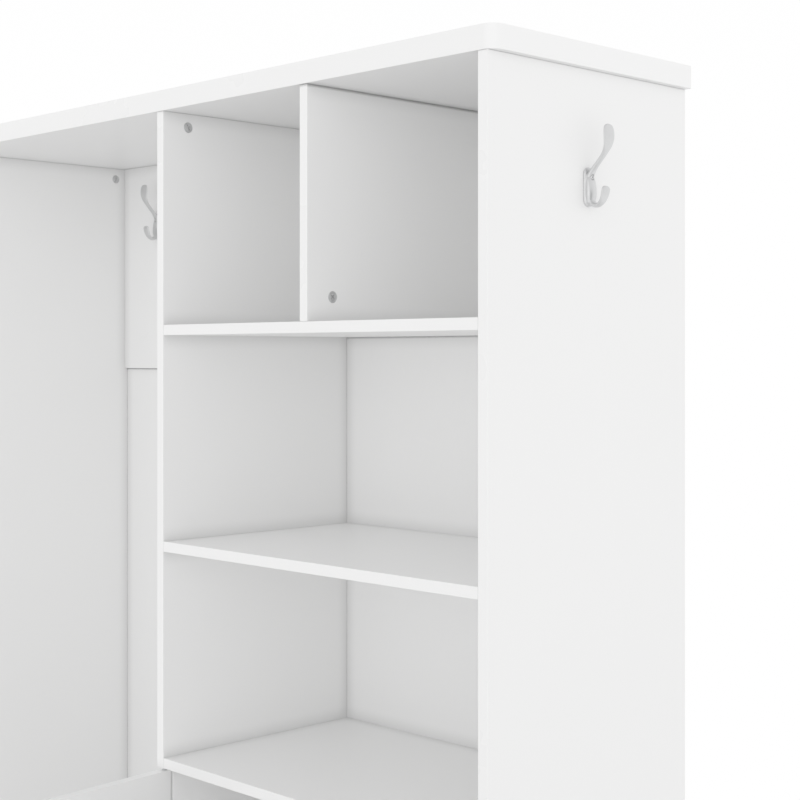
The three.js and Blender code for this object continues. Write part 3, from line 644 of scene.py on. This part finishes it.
def make_hooks():
    nickel = make_metal_material("satin_nickel", NICKEL, roughness=0.4)
    casting = make_hook_mesh()
    casting.materials.clear()
    casting.materials.append(nickel)
    screw = make_cross_head(
        "hook_screw", radius=3.3, height=1.9, recess_radius=1.9, recess_depth=1.2,
        shank_radius=1.8, shank_length=16.5)
    give(screw, nickel)
    board_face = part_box("hook_board")[0].y
    panel_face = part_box("right_end_panel")[1].x
    for node, screw_turn in SCREW_TURNS.items():
        centre = middle(f"{node}_screw") - Vector((0, 0, SCREW_RISE * MM))
        if node == "side_hook":
            origin = Vector((panel_face, centre.y, centre.z))
            turn = Matrix.Rotation(math.pi / 2, 4, "Z")
        else:
            origin = Vector((centre.x, board_face, centre.z))
            turn = Matrix.Identity(4)
        on_wall = Matrix.Translation(origin) @ turn
        hook = linked(f"{node}_casting", casting)
        place_piece(hook, on_wall, "carcass", [node])
        head = linked(f"{node}_screw_piece", screw.data)
        seat = Vector((0, -SCREW_SEAT * MM, SCREW_RISE * MM))
        spin = Matrix.Rotation(screw_turn, 4, "Z")
        matrix = on_wall @ axis_frame(seat, (0, -1, 0)) @ spin
        place_piece(head, matrix, "carcass", [f"{node}_screw"])
    bpy.data.objects.remove(screw)


# ---- Cam locks ----
# In millimetres, with each cam turned about Z by its own angle.
CAM_FACE = -0.3
CAM_SLOT = (8.6, 1.5, 4.0)
CAM_MARK = (1.1, 1.1, 1.6)
CAM_MARK_RADIUS = 4.9
CAM_TURNS = {"divider_cam": 0.5, "cubby_divider_cam": 0.9, "left_end_cam": 1.3}


def make_cam_mesh():
    """A rimmed disc with a ring groove, a cross slot and a start mark. The board's face is z = 0."""
    disc = turned("cam_disc", rounded_profile([
        (0.0, -11.2), (7.0, -11.2), (7.4, -10.6), (7.4, -0.55), (7.0, -0.15), (6.1, -0.15),
        (5.9, -0.6), (5.2, -0.6), (5.0, CAM_FACE), (0.0, CAM_FACE),
    ], 0.15, steps=2), segments=56)
    marks = bmesh.new()
    shapes = [
        (CAM_SLOT, 0.0, 0.0),
        (CAM_SLOT, 0.0, math.pi / 2),
        (CAM_MARK, CAM_MARK_RADIUS, math.pi / 4),
    ]
    for size, radius, turn in shapes:
        offset = Vector((radius, 0, CAM_FACE)) * MM
        add_box(marks, size, Matrix.Rotation(turn, 4, "Z") @ Matrix.Translation(offset))
    subtract(disc, marks)
    mesh = disc.data
    bpy.data.objects.remove(disc)
    return mesh


def make_cams():
    mesh = make_cam_mesh()
    mesh.materials.clear()
    mesh.materials.append(make_metal_material(
        "cam_zinc", CAM_GREY, roughness=0.38, grain_scale=500.0, metallic=0.8))
    for node, turn in CAM_TURNS.items():
        low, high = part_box(node)
        board_face = Vector((high.x - CAM_FACE * MM, (low.y + high.y) / 2, (low.z + high.z) / 2))
        cam = linked(f"{node}_piece", mesh)
        spin = Matrix.Rotation(turn, 4, "Z")
        place_piece(cam, axis_frame(board_face, (1, 0, 0)) @ spin, "carcass", [node])


# ---- Doors' small parts ----
# In millimetres, each drawn about Z from its own seat.
PIVOT_END = 13.0
BUSH_END = 9.0
DOOR_THICKNESS = 15.0
BOLT_LENGTH = 27.3
BOLT_TIP_TO_SEAT = 25.0
HEAD_GAP = 0.3


def make_knob(name):
    """A mushroom knob with a hollow stem. The door's face is z = 0."""
    return turned(name, rounded_profile([
        (0.0, 11.0), (1.9, 11.0), (1.9, 0.3), (8.0, 0.3), (8.0, 1.6), (5.4, 3.6), (4.9, 6.5),
        (5.4, 10.0), (8.6, 13.6), (11.8, 16.4), (12.4, 18.6), (11.6, 21.0), (8.0, 22.9),
        (4.0, 23.5), (0.0, 23.6),
    ], 1.2, steps=4), segments=72)


def make_pivot(name):
    """A pin with a collar. It stands in the door below z = 0 and turns in the bush above."""
    return turned(name, rounded_profile([
        (0.0, -14.0), (2.2, -14.0), (2.2, 0.3), (4.0, 0.3), (4.0, 1.3), (2.2, 1.3),
        (2.2, 12.0), (1.6, PIVOT_END), (0.0, PIVOT_END),
    ], 0.3, steps=3), segments=32)


def make_bush(name):
    """A sleeve above z = 0 with its flange just below it."""
    return turned(name, [
        (2.6, -0.95), (4.4, -0.95), (4.8, -0.6), (4.8, -0.15), (4.0, -0.15), (4.0, 8.6),
        (3.7, BUSH_END), (2.9, BUSH_END), (2.6, 8.7), (2.6, -0.95),
    ], segments=40)


def end_seat(node, direction, reach):
    """The point on a node's upright axis that lies the reach back from its end."""
    low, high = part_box(node)
    centre = (low + high) / 2
    end = high if direction > 0 else low
    return (centre.x, centre.y, end.z - direction * reach * MM)


def make_door_hardware():
    nickel = make_metal_material("knob_nickel", NICKEL, roughness=0.26)
    zinc = make_metal_material("zinc_plate", ZINC, roughness=0.36, grain_scale=900.0)
    nylon = make_plastic_material("nylon", NYLON, roughness=0.45)
    turns = {"left": -LEFT_DOOR_OPENING, "right": 0.0}
    for side, opening in turns.items():
        body = f"{side}_door"
        outward = Matrix.Rotation(opening, 3, "Z") @ Vector((0, -1, 0))
        for end, direction in (("top", 1), ("bottom", -1)):
            along = (0, 0, direction)
            pivot_node = f"{side}_door_{end}_pivot"
            pivot = make_pivot(pivot_node + "_piece")
            give(pivot, zinc)
            seat = end_seat(pivot_node, direction, PIVOT_END)
            place_piece(pivot, axis_frame(seat, along), body, [pivot_node])
            bush_node = f"{side}_door_{end}_bush"
            bush = make_bush(bush_node + "_piece")
            give(bush, nylon)
            seat = end_seat(bush_node, direction, BUSH_END)
            place_piece(bush, axis_frame(seat, along), "carcass", [bush_node])

        knob_node = f"{side}_door_knob"
        bolt_node = f"{side}_door_knob_bolt"
        height = middle(knob_node).z
        bolt_tip = middle(bolt_node) + outward * BOLT_LENGTH * MM / 2
        seat = bolt_tip - outward * BOLT_TIP_TO_SEAT * MM
        knob = make_knob(knob_node + "_piece")
        give(knob, nickel)
        face = seat + outward * DOOR_THICKNESS * MM
        place_piece(knob, axis_frame((face.x, face.y, height), outward), body, [knob_node])
        bolt = make_cross_head(
            bolt_node + "_piece", radius=3.8, height=2.2, recess_radius=2.1, recess_depth=1.3,
            shank_radius=1.6, shank_length=24.8)
        give(bolt, zinc)
        inner = seat - outward * HEAD_GAP * MM
        place_piece(bolt, axis_frame((inner.x, inner.y, height), -outward), body, [bolt_node])


# ---- Feet ----
def make_feet():
    """A round pad with its nail in one turned piece, standing on the floor."""
    nylon = make_plastic_material("foot_nylon", scaled(NYLON, 0.97), roughness=0.5)
    for side in ("left_front", "left_back", "right_front", "right_back", "centre"):
        node = f"{side}_foot"
        centre = middle(node)
        foot = turned(node + "_piece", rounded_profile([
            (0.0, 0.0), (6.1, 0.0), (6.9, 0.9), (6.9, 4.7), (1.2, 4.7), (1.2, 15.0), (0.0, 16.4),
        ], 0.4, steps=3), segments=40)
        give(foot, nylon)
        on_floor = Matrix.Translation((centre.x, centre.y, 0.0))
        place_piece(foot, on_floor, "carcass", [node])


# ---- Catch, strikes and shelf pins ----
# In millimetres.
POLE_SIZE = (20.0, 1.6, 1.8)
POLE_OFFSET = 2.6
POLE_SINK = 0.3
POLE_EASE = 0.25


def make_catch():
    """The CAD housing with eased edges, and a magnet with its pole plates in front of each strike."""
    node = "double_door_catch"
    give(NODES[node], make_plastic_material("catch_nylon", NYLON, roughness=0.48))
    ease_edges(node, CATCH_EASE)
    iron = make_metal_material("pole_iron", MAGNET_GREY, roughness=0.42, grain_scale=900.0)
    centre = middle(node)
    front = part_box(node)[0].y
    to_strike = middle("right_door_strike").x - centre.x
    for side, offset_x in (("left", -to_strike), ("right", to_strike)):
        build = bmesh.new()
        for rise in (-POLE_OFFSET, POLE_OFFSET):
            add_box(build, POLE_SIZE, Matrix.Translation((0, POLE_SINK * MM, rise * MM)))
        bmesh.ops.bevel(
            build, geom=list(build.edges), offset=POLE_EASE * MM, segments=2, affect="EDGES")
        poles = finish_mesh(f"{side}_catch_poles", build)
        give(poles, iron)
        place_piece(poles, Matrix.Translation((centre.x + offset_x, front, centre.z)), "carcass")


def make_strikes():
    zinc = make_metal_material("strike_zinc", ZINC, roughness=0.34, grain_scale=900.0)
    for side in ("left", "right"):
        node = f"{side}_door_strike"
        give(NODES[node], zinc)
        ease_edges(node, STRIKE_EASE, segments=2)


def make_shelf_pins():
    zinc = make_metal_material("pin_zinc", ZINC, roughness=0.34, grain_scale=900.0)
    profile = rounded_profile([
        (0.0, -8.0), (2.4, -8.0), (2.4, 0.2), (3.4, 0.2), (3.4, 1.2), (2.4, 1.2), (2.4, 8.0), (0.0, 8.0),
    ], 0.4, steps=3)
    for side, inward in (("left", 1), ("right", -1)):
        for end in ("front", "back"):
            node = f"{side}_{end}_shelf_pin"
            pin = turned(node + "_piece", profile, segments=32)
            give(pin, zinc)
            place_piece(pin, axis_frame(middle(node), (inward, 0, 0)), "carcass", [node])


# ---- Stage ----
def make_floor():
    """A pale floor that fades into the dome's light far from the unit, so that it shows no rim."""
    build = bmesh.new()
    bmesh.ops.create_circle(build, cap_ends=True, segments=128, radius=FLOOR_RADIUS)
    floor = finish_mesh("floor", build)
    graph = Graph("floor_paint")
    patches = graph.noise(1.5, detail=3.0)
    paint = graph.mix_colours(graph.spread(patches, 0.0, 1.0), scaled(FLOOR_WHITE, 0.985), FLOOR_WHITE)
    graph.join(paint, graph.shader.inputs["Base Color"])
    graph.join(graph.spread(patches, 0.6, 0.7), graph.shader.inputs["Roughness"])
    glow = graph.node("ShaderNodeEmission")
    glow.inputs["Strength"].default_value = DOME_BASE
    distance = graph.node("ShaderNodeVectorMath", operation="LENGTH")
    graph.join(graph.coords.outputs["Object"], distance.inputs[0])
    fade = graph.spread(distance.outputs["Value"], 0.0, 1.0, *FLOOR_FADE)
    blend = graph.node("ShaderNodeMixShader")
    graph.join(fade, blend.inputs[0])
    graph.join(graph.shader.outputs[0], blend.inputs[1])
    graph.join(glow.outputs[0], blend.inputs[2])
    graph.join(blend.outputs[0], graph.tree.nodes["Material Output"].inputs["Surface"])
    give(floor, graph.material)


def make_studio_light():
    """A white dome with more light from the front and front right, less from the sides and overhead."""
    world = bpy.data.worlds.new("studio")
    world.use_nodes = True
    tree = world.node_tree
    background = tree.nodes["Background"]
    coords = tree.nodes.new("ShaderNodeTexCoord")
    base = tree.nodes.new("ShaderNodeValue")
    base.outputs[0].default_value = DOME_BASE
    total = base.outputs[0]
    for direction, power, gain in DOME_LOBES:
        lobe = tree.nodes.new("ShaderNodeVectorMath")
        lobe.operation = "DOT_PRODUCT"
        lobe.inputs[1].default_value = Vector(direction).normalized()
        tree.links.new(coords.outputs["Generated"], lobe.inputs[0])
        value = lobe.outputs["Value"]
        for operation, number in (("MAXIMUM", 0.0), ("POWER", power), ("MULTIPLY", gain)):
            node = tree.nodes.new("ShaderNodeMath")
            node.operation = operation
            tree.links.new(value, node.inputs[0])
            node.inputs[1].default_value = number
            value = node.outputs[0]
        joined = tree.nodes.new("ShaderNodeMath")
        joined.operation = "ADD"
        tree.links.new(value, joined.inputs[0])
        tree.links.new(total, joined.inputs[1])
        total = joined.outputs[0]
    tree.links.new(total, background.inputs["Strength"])
    background.inputs["Color"].default_value = (1, 1, 1, 1)
    scene = bpy.context.scene
    scene.world = world
    scene.view_settings.view_transform = "Standard"
    scene.view_settings.gamma = DISPLAY_GAMMA


def make_camera():
    data = bpy.data.cameras.new("camera")
    data.lens = CAMERA_LENS
    data.sensor_width = CAMERA_SENSOR_WIDTH
    data.shift_y = CAMERA_SHIFT
    camera = bpy.data.objects.new("camera", data)
    camera.location = CAMERA_PLACE
    camera.rotation_euler = (math.pi / 2, 0.0, CAMERA_TURN)
    bpy.context.scene.collection.objects.link(camera)
    bpy.context.scene.camera = camera


make_camera()
make_floor()
make_studio_light()
finish_boards()
make_hooks()
make_cams()
make_door_hardware()
make_feet()
make_catch()
make_strikes()
make_shelf_pins()
